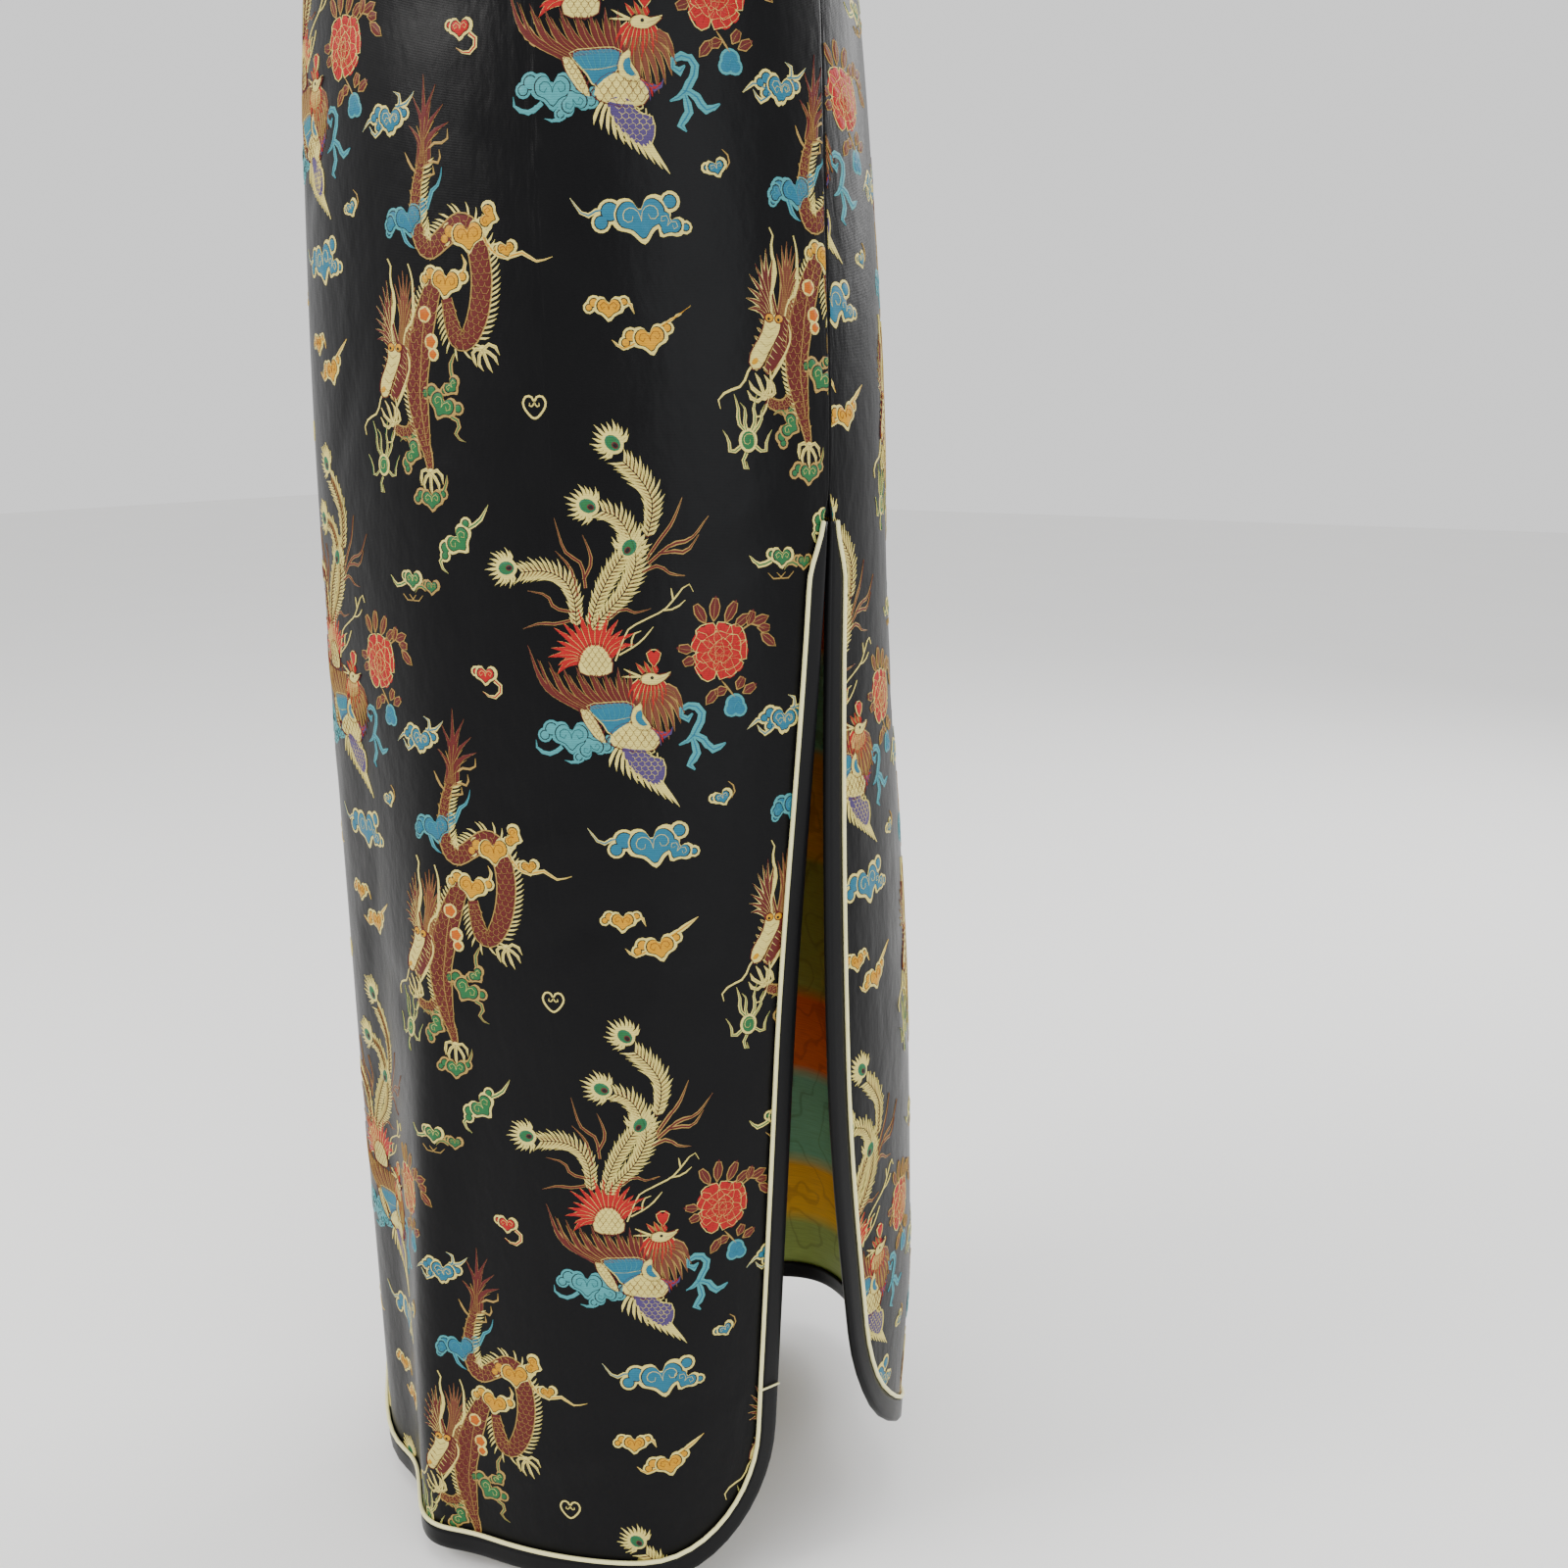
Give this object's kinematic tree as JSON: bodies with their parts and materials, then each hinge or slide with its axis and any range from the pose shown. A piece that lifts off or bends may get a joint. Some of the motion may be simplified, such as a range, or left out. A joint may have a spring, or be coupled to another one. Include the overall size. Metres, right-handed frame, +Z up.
{
  "type": "cheongsam dress",
  "caption": "Long sleeveless side-slit dress in figured satin with a stand collar, slanting opening, bound edges and rounded hem corners.",
  "frame": {"origin": "at shoulder height on the dress's middle line, where the wearer holds it up", "axes": "+Z up, the front faces -Y, the wearer's left is +X"},
  "size_m": [0.3626, 0.3395, 1.3839],
  "materials": {
    "brocade": "black satin with woven coloured figures",
    "binding": "black satin",
    "piping": "pale yellow satin cord"
  },
  "bodies": {
    "root": {"front": "brocade", "back": "brocade", "front_underlap": "brocade", "collar": "brocade", "front_binding": "binding", "back_binding": "binding", "front_piping": "piping", "back_piping": "piping", "opening_binding": "binding", "armhole_binding_left_front": "binding", "armhole_binding_left_back": "binding", "armhole_binding_right_front": "binding", "armhole_binding_right_back": "binding", "collar_frog_loop": "binding", "collar_frog_button": "binding", "chest_frog_loop": "binding", "chest_frog_button": "binding", "side_frog_loop": "binding", "side_frog_button": "binding"}
  },
  "joints": []
}
